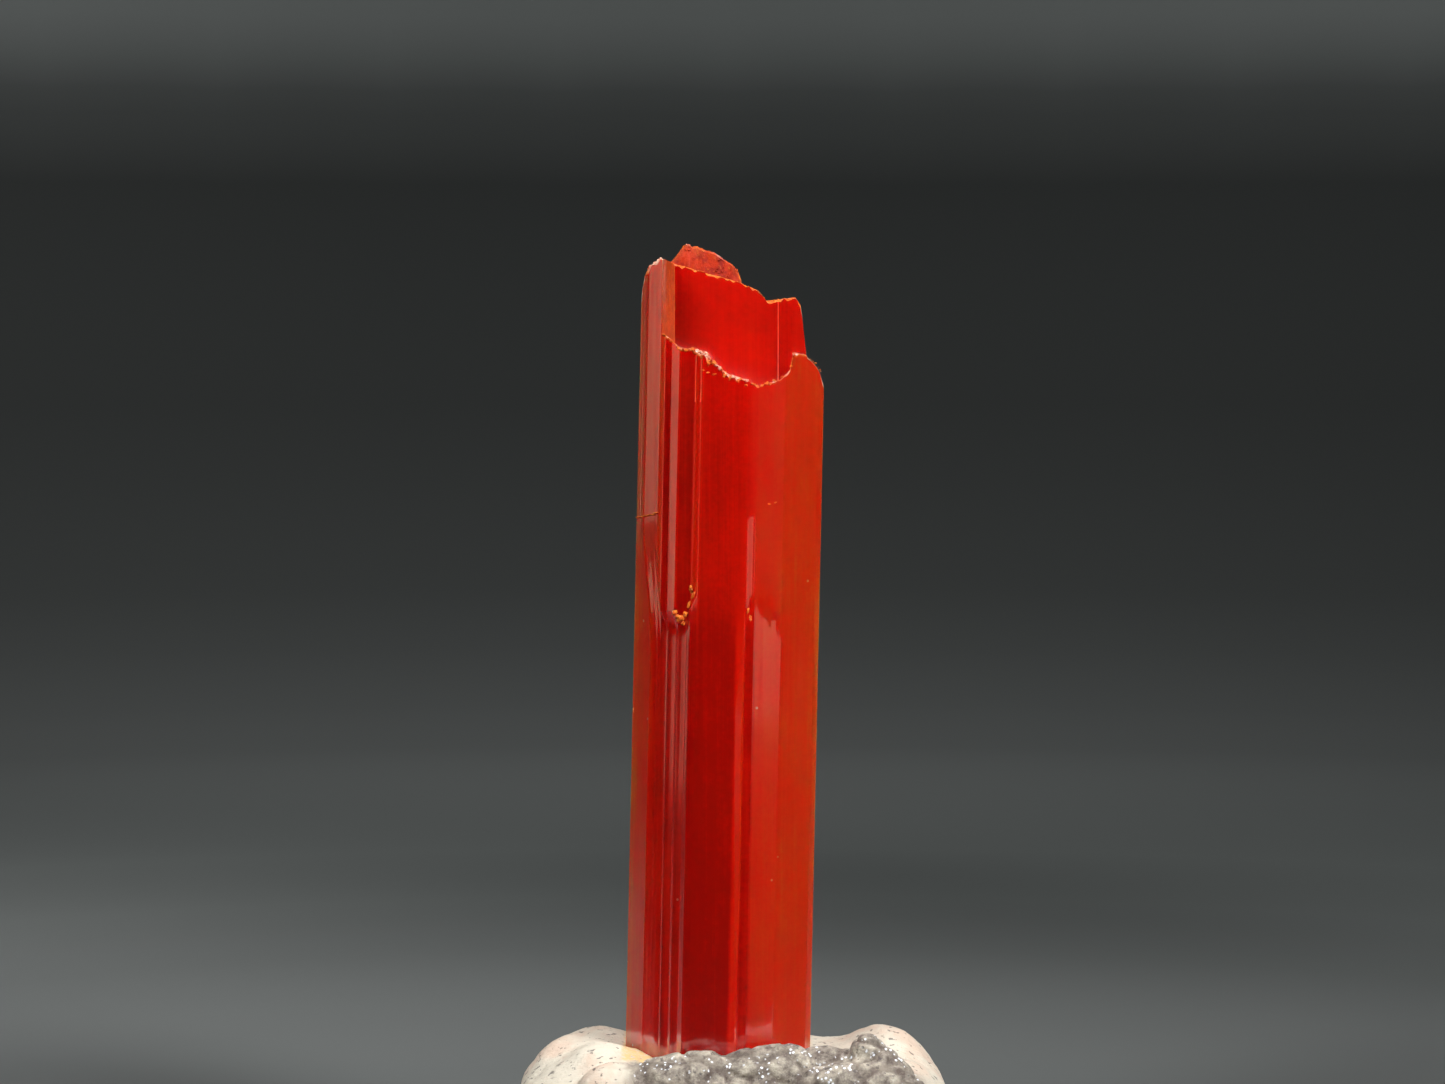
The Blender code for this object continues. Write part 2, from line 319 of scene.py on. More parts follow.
def makeRecessCutter():
    nothingSelected()
    wide = recess["rightX"] - recess["leftAtFront"]
    deep = recess["wallY"] - recess["frontY"]
    bpy.ops.mesh.primitive_grid_add(x_subdivisions=round(wide / recess["stepX"]),
                                    y_subdivisions=recess["rowsY"], size=2 * mm)
    cutter = active("recessCutter")
    bpy.ops.object.mode_set(mode="EDIT")
    bpy.ops.mesh.extrude_region_move(TRANSFORM_OT_translate={"value": (0, 0, 10 * mm)})
    bpy.ops.object.mode_set(mode="OBJECT")
    points = readPoints(cutter)
    shareX, shareY = np.clip((points[:, :2].T + 1) / 2, 0, 1)
    high = points[:, 2] > 1
    # most rows lie near the lip, where the chips are
    y = recess["frontY"] + deep * (0.27 + 0.73 * shareY**1.6)
    left = np.interp(y, [-1.4, recess["wallY"]], [recess["leftAtFront"], recess["leftAtWall"]])
    x = left + (recess["rightX"] - left) * shareX
    # the back wall is a fresh parting face with faint steps
    steps = recess["wallStep"] * settle(x, *recess["wallStepX"])
    steps = steps + 0.010 * mottle(x * 2.2, x * 0, 26) + 0.004 * mottle(x * 9, x * 0, 27)
    points[:, 0], points[:, 1] = x, y - steps * settle(shareY, 0.6, 1.0)
    points[:, 2] = np.where(high, recess["capZ"], recessFloor(x, y))
    movePoints(cutter, points)
    outwardNormals()
    cutter.data.materials.append(cleanBreak)
    return cutter


# the cut faces come out in their cutter's material, and the clean breaks get the crystal's own later on
cleanBreak = bpy.data.materials.new("cleanBreak")


# Crystal: the stepped top behind the recess

brokenTop = {
    "reachX": 2.7,
    "frontY": -2.4,
    "backY": 2.2,
    "capZ": 25.0,
    "stepX": 0.034,
    "rowsY": 120,
    "wallBackY": 0.55,
    "shardBackY": 1.25,
    "stepWidth": 0.10,
    "roughness": 0.028,
    "wall": [(-2.40, 20.20), (-2.06, 20.50), (-2.02, 20.82), (-1.95, 21.10), (-1.86, 21.26), (-1.60, 21.42),
             (-1.33, 21.35), (-0.50, 21.12), (0.11, 20.94),
             (0.54, 20.76), (0.74, 20.52), (1.38, 20.60), (1.52, 20.40), (1.64, 19.28), (1.90, 19.00),
             (2.03, 18.60), (2.60, 18.50)],
    "shard": [(-2.40, 20.00), (-1.90, 20.80), (-1.65, 21.20), (-1.34, 21.46), (-1.12, 21.74), (-1.01, 21.82),
              (-0.90, 21.74), (-0.52, 21.66), (-0.29, 21.54), (-0.22, 21.50), (-0.05, 21.38), (0.11, 21.20),
              (0.18, 20.98), (0.22, 20.75), (0.95, 20.25), (1.45, 20.10), (1.60, 19.10),
              (1.90, 18.80), (2.60, 18.40)],
    "rear": [(-2.40, 19.60), (-1.20, 20.60), (-0.90, 21.15), (-0.45, 21.05), (-0.05, 20.30), (0.90, 19.90),
             (2.60, 18.30)],
    "sags": (0.30, 0.35, 0.55),
    "shardGrit": 0.035,
    # the bite out of the column's front corner, left of the recess
    "cornerX": -1.50,
    "cornerZ": 21.2,
    "cornerReach": 0.16,
    "cornerBite": 0.13,
}


def topHeight(x, y):
    wallY, backY, rearY = recess["wallY"], brokenTop["wallBackY"], brokenTop["shardBackY"]
    sags, half = brokenTop["sags"], brokenTop["stepWidth"] / 2
    wall = onLine(brokenTop["wall"], x) - sags[0] * np.clip((y - wallY) / (backY - wallY), 0, 1)
    shard = onLine(brokenTop["shard"], x) - sags[1] * np.clip((y - backY) / (rearY - backY), 0, 1)
    rear = onLine(brokenTop["rear"], x) - sags[2] * np.clip((y - rearY) / (2 - rearY), 0, 1)
    toShard, toRear = settle(y, backY - half, backY + half), settle(y, rearY - half, rearY + half)
    height = (wall * (1 - toShard) + shard * toShard) * (1 - toRear) + rear * toRear
    grit = mottle(x * 5, y * 5, 31) + 0.6 * mottle(x * 12, y * 12, 32) + 0.4 * mottle(x * 30, y * 30, 33)
    height = height + brokenTop["roughness"] * grit * settle(y, wallY, wallY + 0.2)
    # the wall's front edge is finely chipped, and so is the column's corner
    edge = (1 - settle(y - wallY, 0.0, 0.10)) * settle(x, -1.5, -1.2)
    height = height - edge * (0.06 + 0.05 * mottle(x * 14, y * 6, 34))
    corner = 1 - settle(y - frontOf(x, brokenTop["cornerZ"]), 0.0, brokenTop["cornerReach"])
    corner = corner * (1 - settle(x, brokenTop["cornerX"] - 0.1, brokenTop["cornerX"] + 0.1))
    return height - corner * brokenTop["cornerBite"] * (0.8 + 0.6 * mottle(x * 17, y * 9, 35))


def makeTopCutter():
    nothingSelected()
    bpy.ops.mesh.primitive_grid_add(x_subdivisions=round(2 * brokenTop["reachX"] / brokenTop["stepX"]),
                                    y_subdivisions=brokenTop["rowsY"], size=2 * mm)
    cutter = active("topCutter")
    bpy.ops.object.mode_set(mode="EDIT")
    bpy.ops.mesh.extrude_region_move(TRANSFORM_OT_translate={"value": (0, 0, 10 * mm)})
    bpy.ops.object.mode_set(mode="OBJECT")
    points = readPoints(cutter)
    high = points[:, 2] > 1
    x = points[:, 0] * brokenTop["reachX"]
    # close rows where the wall's front edge is
    rowsAt = [brokenTop["frontY"], -0.45, -0.15, brokenTop["backY"]]
    y = np.interp(points[:, 1], [-1, -0.9, -0.72, 1], rowsAt)
    z = topHeight(x, y)
    # the shard's front is torn
    tear = settle(y, brokenTop["wallBackY"] - 0.12, brokenTop["wallBackY"]) * settle(z, 20.7, 21.1)
    tear = tear * (1 - settle(y, brokenTop["wallBackY"] + 0.1, brokenTop["wallBackY"] + 0.4))
    torn = mottle(x * 4, z * 4, 36) + 0.6 * mottle(x * 9, z * 9, 37)
    points[:, 0], points[:, 1] = x, y + brokenTop["shardGrit"] * torn * tear
    points[:, 2] = np.where(high, brokenTop["capZ"], z)
    movePoints(cutter, points)
    outwardNormals()
    cutter.data.materials.append(cleanBreak)
    return cutter


# Crystal: the sliver split off the left of the front, and the scar on the right

sliver = {
    "fromX": -1.23,
    "toX": -0.56,
    "fromZ": 13.10,
    "toZ": 20.3,
    "columns": 36,
    "rows": 110,
    # by x from the axis: its stepped floor, and the rough pointed end where it snapped off
    "floor": [(-1.23, -1.66), (-1.17, -1.61), (-0.86, -1.60), (-0.81, -1.60), (-0.775, -1.66), (-0.70, -1.665),
              (-0.655, -1.745), (-0.63, -1.80), (-0.56, -1.90)],
    "end": [(-1.23, 13.70), (-1.19, 13.60), (-1.01, 13.27), (-0.95, 13.33), (-0.66, 13.95), (-0.61, 14.6),
            (-0.56, 15.2)],
    "endReach": 0.09,
    # over the crystal's top, so that it runs out there
    "startZ": 30.0,
    "outsideY": -1.85,
    "grit": 0.035,
}

scar = {
    "fromX": 0.34,
    "toX": 0.72,
    "fromZ": 13.25,
    "toZ": 20.0,
    "columns": 20,
    "rows": 90,
    # a slanting face, by x from the axis
    "floor": [(0.34, -1.85), (0.385, -1.79), (0.42, -1.745), (0.56, -1.682), (0.60, -1.70), (0.64, -1.74),
              (0.72, -1.90)],
    "end": [(0.34, 13.75), (0.46, 13.42), (0.54, 13.55), (0.72, 14.6)],
    "endReach": 0.12,
    "startZ": 15.95,
    "outsideY": -1.85,
    "grit": 0.020,
}


def makeSplitCutter(name, split):
    nothingSelected()
    bpy.ops.mesh.primitive_grid_add(x_subdivisions=split["columns"], y_subdivisions=split["rows"],
                                    size=2 * mm, rotation=(math.pi / 2, 0, 0))
    cutter = active(name)
    bpy.ops.object.transform_apply(location=True, rotation=True, scale=True)
    bpy.ops.object.mode_set(mode="EDIT")
    bpy.ops.mesh.extrude_region_move(TRANSFORM_OT_translate={"value": (0, -5 * mm, 0)})
    bpy.ops.object.mode_set(mode="OBJECT")
    points = readPoints(cutter)
    shareX, shareZ = np.clip((points[:, 0] + 1) / 2, 0, 1), np.clip((points[:, 2] + 1) / 2, 0, 1)
    x = split["fromX"] + (split["toX"] - split["fromX"]) * shareX
    z = split["fromZ"] + (split["toZ"] - split["fromZ"]) * shareZ**2.2
    opened = settle(z - onLine(split["end"], x), 0, split["endReach"])
    opened = opened * (1 - settle(z, split["startZ"] - 0.2, split["startZ"]))
    grit = mottle(x * 14, z * 14, 51) + 0.6 * mottle(x * 30, z * 30, 52)
    floor = split["outsideY"] + (onLine(split["floor"], x) - split["outsideY"]) * opened
    floor = floor + split["grit"] * grit * 4 * opened * (1 - opened)
    points[:, 0], points[:, 2] = x + axisX(z), z
    points[:, 1] = np.where(points[:, 1] < -1, -2.6, floor)
    movePoints(cutter, points)
    outwardNormals()
    cutter.data.materials.append(cleanBreak)
    return cutter


# Crystal: chips along the edges, and crumbs

# each chip: x, y, z, radius and height over width
chips = [
    (2.05, -0.86, 13.70, 0.060, 1.6), (2.06, -0.80, 13.42, 0.045, 1.2), (2.01, -0.84, 10.35, 0.050, 1.8),
    (2.10, -0.82, 16.45, 0.040, 2.0), (2.00, -0.80, 8.10, 0.045, 1.5), (1.94, -0.84, 5.05, 0.050, 1.3),
    (2.10, -0.84, 17.90, 0.040, 1.8), (-1.55, -1.33, 12.2, 0.030, 1.6), (0.26, -1.80, 11.2, 0.025, 1.8),
    (-2.16, -0.30, 17.1, 0.045, 1.8), (-2.26, -0.30, 11.3, 0.050, 1.6), (-2.42, -0.28, 5.6, 0.050, 1.8),
]

# how far a chip or a crumb is off round, as a share of its radius
crumbJag = 0.38

# crumbs that still cling to the breaks, in the same terms as the chips
clinging = [
    (-1.29, -1.58, 13.60, 0.060, 1.0), (-1.22, -1.60, 13.50, 0.070, 0.9), (-1.13, -1.62, 13.47, 0.065, 1.0),
    (-1.10, -1.65, 13.36, 0.050, 0.9), (-1.20, -1.60, 13.42, 0.060, 0.8), (-1.05, -1.63, 13.56, 0.050, 1.2),
    (-0.93, -1.63, 14.12, 0.045, 2.6), (-0.88, -1.67, 13.98, 0.035, 2.8), (-0.98, -1.63, 13.78, 0.032, 2.6),
    (0.33, -1.77, 13.64, 0.028, 2.6), (0.38, -1.74, 13.48, 0.035, 1.8),
    (-0.42, -1.79, 18.86, 0.055, 0.35), (-0.56, -1.78, 18.90, 0.045, 0.40), (-0.66, -1.76, 18.95, 0.040, 0.5),
    (0.10, -1.78, 18.70, 0.045, 0.5), (0.28, -1.78, 18.62, 0.050, 0.5), (0.90, -1.62, 18.72, 0.040, 0.6),
    (1.08, -1.58, 18.80, 0.035, 0.7), (0.93, -1.61, 16.03, 0.045, 0.30), (0.80, -1.65, 16.00, 0.035, 0.30),
]


# the crumbly line of the crack across the left bevel: from x and z to x and z
crack = {
    "start": (-2.15, 15.64),
    "end": (-1.68, 15.78),
    "bits": 15,
}

# crusts of crumbs
crusts = {
    # x from and to, reach behind the front edge, how many, least and greatest radius
    "lip": [(-1.58, -0.85, 0.06, 34, 0.018, 0.040), (-0.92, -0.15, 0.26, 70, 0.020, 0.052),
            (-0.15, 0.55, 0.14, 34, 0.016, 0.036), (0.60, 0.85, 0.10, 12, 0.022, 0.040),
            (0.85, 1.30, 0.30, 12, 0.012, 0.022), (1.28, 1.40, 0.08, 6, 0.022, 0.035),
            (1.40, 1.98, 0.05, 16, 0.012, 0.026)],
    # x from and to, y from and to, how many, least and greatest radius
    "top": [(-1.32, 0.72, -0.31, -0.27, 46, 0.012, 0.026), (-1.98, -1.55, -0.75, -0.30, 16, 0.020, 0.045),
            (0.78, 1.45, -0.31, -0.20, 18, 0.014, 0.026), (-1.20, -0.90, 0.52, 0.66, 8, 0.016, 0.032),
            (-0.45, 0.15, 0.52, 0.60, 14, 0.016, 0.034)],
}


def crumbsOf():
    # every crumb on its surface: x, y, z, radius and height over width
    chance = np.random.default_rng(81)
    bits = list(clinging)
    (fromX, fromZ), (toX, toZ) = crack["start"], crack["end"]
    for share in np.linspace(0, 1, crack["bits"]):
        x, z = fromX + (toX - fromX) * share, fromZ + (toZ - fromZ) * share + chance.uniform(-0.012, 0.012)
        bits.append((x, frontOf(x, z) + 0.012, z, chance.uniform(0.030, 0.046), 0.5))
    for fromX, toX, reach, count, least, most in crusts["lip"]:
        for _ in range(count):
            x = chance.uniform(fromX, toX)
            y = frontOf(x, 19.0) + reach * chance.uniform() ** 1.5
            radius = least + (most - least) * chance.uniform() ** 2
            bits.append((x, y, recessFloor(x, y), radius, chance.uniform(0.6, 1.1)))
    for fromX, toX, fromY, toY, count, least, most in crusts["top"]:
        for _ in range(count):
            x, y = chance.uniform(fromX, toX), chance.uniform(fromY, toY)
            radius = least + (most - least) * chance.uniform() ** 2
            bits.append((x, y, topHeight(x, y), radius, chance.uniform(0.6, 1.0)))
    return bits


def makeBits(name, bits):
    nothingSelected()
    made = []
    for number, (x, y, z, radius, stretch) in enumerate(bits):
        turn = (0.3, 0.2 * math.sin(number), number)
        bpy.ops.mesh.primitive_ico_sphere_add(subdivisions=2, radius=radius * mm, scale=(1, 1, stretch),
                                              location=(x * mm, y * mm, z * mm), rotation=turn)
        chip = active("chip")
        bpy.ops.object.transform_apply(location=True, rotation=True, scale=True)
        points = readPoints(chip)
        middle = np.array((x, y, z))
        away = points - middle
        across, along = away[:, 0] / radius * 1.7, (away[:, 2] + away[:, 1] * 0.6) / radius * 1.7
        grit = mottle(across + number * 5, along, 71)
        movePoints(chip, middle + away * (1 + crumbJag * grit)[:, None])
        made.append(chip)
    nothingSelected()
    for chip in made:
        chip.select_set(True)
    bpy.ops.object.join()
    joined = active(name)
    outwardNormals()
    joined.data.materials.append(crumbs)
    return joined


# Shaders: one wire is one socket, and sums on wires add the nodes

class Wire:
    def __init__(self, tree, socket=None):
        self.tree, self.socket = tree, socket

    def node(self, kind, settings=None, inputs=None, output=0):
        made = self.tree.nodes.new(kind)
        for name, value in (settings or {}).items():
            if name == "stops":
                setStops(made.color_ramp, value)
            else:
                setattr(made, name, value)
        for name, value in (inputs or {}).items():
            if isinstance(value, Wire):
                self.tree.links.new(value.socket, made.inputs[name])
            else:
                made.inputs[name].default_value = value
        return Wire(self.tree, made.outputs[output])

    def maths(self, operation, *values, clamp=False):
        inputs = dict(enumerate(values))
        return self.node("ShaderNodeMath", {"operation": operation, "use_clamp": clamp}, inputs)

    def __add__(self, other):
        return self.maths("ADD", self, other)

    def __radd__(self, other):
        return self.maths("ADD", other, self)

    def __sub__(self, other):
        return self.maths("SUBTRACT", self, other)

    def __rsub__(self, other):
        return self.maths("SUBTRACT", other, self)

    def __mul__(self, other):
        return self.maths("MULTIPLY", self, other)

    def __rmul__(self, other):
        return self.maths("MULTIPLY", other, self)

    def ramp(self, low, high):
        # 0 below low, 1 above high
        settings = {"interpolation_type": "SMOOTHSTEP"}
        inputs = {"Value": self, "From Min": low, "From Max": high}
        return self.node("ShaderNodeMapRange", settings, inputs)

    def blend(self, first, second):
        # a colour between two, by this value
        settings = {"data_type": "RGBA", "clamp_factor": True}
        inputs = {0: self, 6: first, 7: second}
        return self.node("ShaderNodeMix", settings, inputs, 2)


def setStops(ramp, stops):
    while len(ramp.elements) < len(stops):
        ramp.elements.new(0.5)
    for element, (position, colour) in zip(ramp.elements, stops):
        element.position = position
        element.color = colour


def newMaterial(name):
    material = bpy.data.materials.new(name)
    material.use_nodes = True
    tree = material.node_tree
    return material, tree, tree.nodes["Principled BSDF"]


def connect(shader, values):
    for name, value in values.items():
        if isinstance(value, Wire):
            value.tree.links.new(value.socket, shader.inputs[name])
        else:
            shader.inputs[name].default_value = value


def noiseOf(place, scale, detail=2.0, roughness=0.5, stretch=None):
    if stretch:
        place = place.node("ShaderNodeMapping", None, {"Vector": place, "Scale": stretch})
    inputs = {"Vector": place, "Scale": scale, "Detail": detail, "Roughness": roughness}
    return place.node("ShaderNodeTexNoise", None, inputs)


# Finish: the crystal's red-orange stone, part see-through and part glowing from within

crocoite = {
    "ior": 2.3,
    # the share of light that passes straight through: the rest scatters within, in the base colour
    "transmission": 0.55,
    "glow": 1.0,
    "specular": 0.15,
    # painted reflections and shade: from the darkest painted bands to the thin orange edges
    "paintedTones": [(0.0, (0.48, 0.004, 0.0006, 1)), (0.35, (0.92, 0.012, 0.0013, 1)),
              (0.65, (1.0, 0.060, 0.007, 1)), (1.0, (1.0, 0.22, 0.02, 1))],
    "speck": (0.85, 0.45, 0.36, 1),
    "absorptionPerMetre": (60.0, 1100.0, 1500.0),
    "glowReach": 0.002,
    "glowRadius": (1.0, 0.08, 0.03),
    "roughness": 0.16,
    "gloss": 0.06,
    "glossIor": 1.9,
}


def crocoiteMaterial():
    material, tree, shader = newMaterial("crocoiteGlass")
    place = Wire(tree).node("ShaderNodeTexCoord", output="Object")
    broken = place.node("ShaderNodeAttribute", {"attribute_name": "broken"}, output="Fac")
    tone = place.node("ShaderNodeAttribute", {"attribute_name": "tone"}, output="Fac")
    frost = place.node("ShaderNodeAttribute", {"attribute_name": "frost"}, output="Fac")
    streaks = noiseOf(place, 1.0, 3.0, 0.6, (9000, 9000, 160))
    fine = noiseOf(place, 1.0, 2.0, 0.5, (26000, 26000, 420))
    clouds = noiseOf(place, 1.0, 3.0, 0.55, (900, 900, 500))
    grit = noiseOf(place, 14000.0, 4.0, 0.6)
    grain = noiseOf(place, 11000.0, 2.0, 0.6)
    # painted reflection bands and light, with tone that differs at random added on top
    tone = tone + (clouds - 0.5) * 0.5 + (streaks - 0.5) * 0.40 + (fine - 0.5) * 0.25 + (grain - 0.5) * 0.22
    colour = tone.node("ShaderNodeValToRGB", {"stops": crocoite["paintedTones"]}, {"Fac": tone})
    # a few specks of dust
    dust = place.node("ShaderNodeTexVoronoi", None, {"Vector": place, "Scale": 1300.0}, "Distance")
    pick = noiseOf(place, 700.0, 0.0)
    specks = (1 - dust.ramp(0.025, 0.05)) * pick.ramp(0.50, 0.56)
    height = (streaks * 0.6 + fine * 0.5) * (1 - broken) + grit * broken * 4.0
    bump = place.node("ShaderNodeBump", None, {"Strength": 0.3, "Distance": 0.000009, "Height": height})
    connect(shader, {
        "Base Color": specks.blend(colour, crocoite["speck"]),
        "Roughness": crocoite["roughness"] + fine.ramp(0.4, 0.8) * 0.04 + frost * 0.24,
        "Normal": bump,
        "IOR": crocoite["ior"],
        "Specular IOR Level": crocoite["specular"],
        "Transmission Weight": crocoite["transmission"],
        "Subsurface Weight": crocoite["glow"],
        "Subsurface Radius": crocoite["glowRadius"],
        "Subsurface Scale": crocoite["glowReach"],
        "Coat Weight": 0.15 + fine.ramp(0.30, 0.62) * 0.45 + streaks.ramp(0.35, 0.60) * 0.40,
        "Coat Roughness": crocoite["gloss"],
        "Coat IOR": crocoite["glossIor"],
    })
    most = max(crocoite["absorptionPerMetre"])
    kept = [1 - value / most for value in crocoite["absorptionPerMetre"]]
    inside = place.node("ShaderNodeVolumeAbsorption", None, {"Color": (*kept, 1), "Density": most})
    tree.links.new(inside.socket, tree.nodes["Material Output"].inputs["Volume"])
    return material


crumble = {
    "orange": (0.48, 0.045, 0.003, 1),
    "amber": (0.60, 0.16, 0.009, 1),
    "chalk": (0.66, 0.45, 0.34, 1),
    # painted glow on the broken faces, in the red of light coming through the stone
    "ember": (0.42, 0.024, 0.0012, 1),
    "dullPaintedGlow": (0.24, 0.009, 0.0008, 1),
}


def crumbleMaterial():
    material, tree, shader = newMaterial("crocoiteCrumble")
    place = Wire(tree).node("ShaderNodeTexCoord", output="Object")
    chalk = place.node("ShaderNodeAttribute", {"attribute_name": "chalk"}, output="Fac")
    grains = noiseOf(place, 16000.0, 4.0, 0.65)
    flecks = noiseOf(place, 30000.0, 2.0, 0.5)
    colour = grains.ramp(0.35, 0.65).blend(crumble["orange"], crumble["amber"])
    white = chalk * grains.ramp(0.35, 0.60) + flecks.ramp(0.62, 0.72) * 0.5
    colour = white.blend(colour, crumble["chalk"])
    # painted glow: the stone's red light painted on the breaks where it would show through
    ember = place.node("ShaderNodeAttribute", {"attribute_name": "ember"}, output="Fac")
    patches = noiseOf(place, 4500.0, 3.0, 0.6)
    glowing = patches.ramp(0.35, 0.62).blend(crumble["dullPaintedGlow"], crumble["ember"])
    glowing = (grains.ramp(0.58, 0.75) * 0.6).blend(glowing, crumble["amber"])
    colour = ember.blend(colour, glowing)
    bump = place.node("ShaderNodeBump", None, {"Strength": 0.8, "Distance": 0.00002, "Height": grains})
    connect(shader, {"Base Color": colour, "Roughness": 0.45 + grains * 0.3, "Normal": bump,
                     "Specular IOR Level": 0.2})
    return material


# Finish: kneaded mounting putty

puttyLook = {
    "cream": (0.56, 0.51, 0.42, 1),
    "pink": (0.54, 0.42, 0.33, 1),
    # the grey front, from its darkest to its palest grains
    "frontGreys": [(0.34, (0.10, 0.075, 0.062, 1)), (0.45, (0.21, 0.18, 0.15, 1)),
             (0.56, (0.35, 0.31, 0.25, 1)), (0.68, (0.52, 0.47, 0.38, 1))],
    "speck": (0.07, 0.06, 0.06, 1),
    # painted shade in the creases
    "hollow": (0.085, 0.060, 0.048, 1),
    # painted glint on the pale grains
    "glint": (0.88, 0.92, 1.0, 1),
    # painted glow: the stone's yellow-orange light on the putty along the crystal's foot
    "stain": (0.60, 0.40, 0.18, 1),
}


def puttyMaterial():
    material, tree, shader = newMaterial("puttyKneaded")
    place = Wire(tree).node("ShaderNodeTexCoord", output="Object")
    dirty, hollow, stain = (place.node("ShaderNodeAttribute", {"attribute_name": name}, output="Fac")
                            for name in ("dirty", "hollow", "stain"))
    clouds = noiseOf(place, 900.0, 4.0, 0.6)
    patches = noiseOf(place, 3200.0, 4.0, 0.7)
    grains = noiseOf(place, 9000.0, 4.0, 0.65)
    specks = noiseOf(place, 6500.0, 2.0, 0.5)
    cream = clouds.ramp(0.45, 0.65).blend(puttyLook["cream"], puttyLook["pink"])
    frontGreys = place.node("ShaderNodeValToRGB", {"stops": puttyLook["frontGreys"]}, {"Fac": patches})
    dirty = dirty + (clouds - 0.5) * 0.5 + (patches - 0.5) * 0.6
    colour = dirty.ramp(0.25, 0.75).blend(cream, frontGreys)
    colour = (specks.ramp(0.62, 0.70) * 0.75).blend(colour, puttyLook["speck"])
    # painted shade, darkest down in the creases
    colour = (hollow * (0.5 + patches * 0.5)).blend(colour, puttyLook["hollow"])
    # painted glow along the crystal's foot, broken up by the grains
    colour = (stain * grains.ramp(0.30, 0.55)).blend(colour, puttyLook["stain"])
    # pale grains with a painted glint: a near-white colour, and smoother
    cells = place.node("ShaderNodeTexVoronoi", None, {"Vector": place, "Scale": 9500.0}, "Distance")
    glint = (1 - cells.ramp(0.22, 0.36)) * noiseOf(place, 2600.0, 2.0).ramp(0.52, 0.60)
    glint = glint * dirty.ramp(0.3, 0.6)
    colour = glint.blend(colour, puttyLook["glint"])
    bump = place.node("ShaderNodeBump", None, {"Strength": 0.9, "Distance": 0.00005, "Height": grains})
    connect(shader, {"Base Color": colour, "Roughness": 0.75 - glint * 0.55, "Normal": bump,
                     "Specular IOR Level": 0.4})
    return material


# Putty lump: one pinch of putty, kneaded round the foot

lump = {
    "halfWidth": 4.90,
    "halfDepth": 4.50,
    "topZ": 3.45,
    "bellyZ": 2.1,
    "footShare": 0.86,
    "squareness": 2.3,
    "crownCurve": 0.60,
    "subdivisions": 6,
    "voxel": 0.062,
    "pocketGap": 0.02,
    # kneaded bumps: x, y, reach and height
    "bumps": [(-3.30, 1.2, 1.3, 0.58), (-4.20, 0.4, 0.6, 0.30), (3.75, 1.3, 1.15, 0.78),
              (1.5, 2.2, 1.3, 0.08), (-3.00, -1.2, 1.1, 0.55), (3.9, -1.0, 0.9, 0.30),
              (-0.6, 3.0, 1.2, 0.18)],
    # folds pressed on in front: x, y, z, three half lengths, turn about Z and tilt about Y in degrees
    "folds": [(-0.95, -2.42, 3.31, 1.45, 0.62, 0.66, 0, -2), (0.85, -2.42, 3.42, 1.55, 0.62, 0.70, 0, -3),
              (2.05, -2.40, 3.45, 0.95, 0.58, 0.66, -8, 4), (2.95, -2.72, 4.00, 0.40, 0.38, 0.37, 0, 20),
              (3.42, -2.82, 3.68, 0.72, 0.36, 0.36, -12, 40), (2.75, -3.18, 3.28, 1.45, 0.48, 0.60, -6, 2),
              (-2.6, -2.5, 3.0, 0.9, 0.7, 0.75, 25, 0)],
    # the lumps, creases and grains in its skin: size and depth
    "skin": [(1.4, 0.07), (3.4, 0.030), (8.0, 0.014)],
    "creaseSize": 1.5,
    "creaseDepth": 0.07,
}


def planRadius(angle):
    power = lump["squareness"]
    rounded = np.abs(np.cos(angle)) ** power + np.abs(np.sin(angle)) ** power
    wave = 0.018 * np.sin(3 * angle + 0.7) + 0.012 * np.sin(5 * angle + 2.1)
    return rounded ** (-1 / power) * (1 + wave)


def greyFrontOf(points):
    # grey in front, cream behind and on the left
    x, y, z = points.T
    return settle(-y, 0.9, 2.0) * settle(x, -2.7, -1.9)


def skinOf(points):
    # relief of the kneaded skin at each point, and how far down in a crease it is. noise_vector has no
    # seed here and starts from the clock, so the creases differ a little from one run to the next
    relief, hollow = np.empty(len(points)), np.empty(len(points))
    for i, point in enumerate(points):
        spot = Vector(point)
        relief[i] = sum(depth * noise.noise(spot * size) for size, depth in lump["skin"])
        near = noise.voronoi(spot * lump["creaseSize"] + noise.noise_vector(spot * 1.2) * 0.35)[0]
        hollow[i] = near[1] - near[0]
    # the creases show most in the grey front
    hollow = (1 - settle(hollow, 0.02, 0.22)) * (0.06 + 0.74 * greyFrontOf(points))
    return relief - lump["creaseDepth"] * hollow, hollow


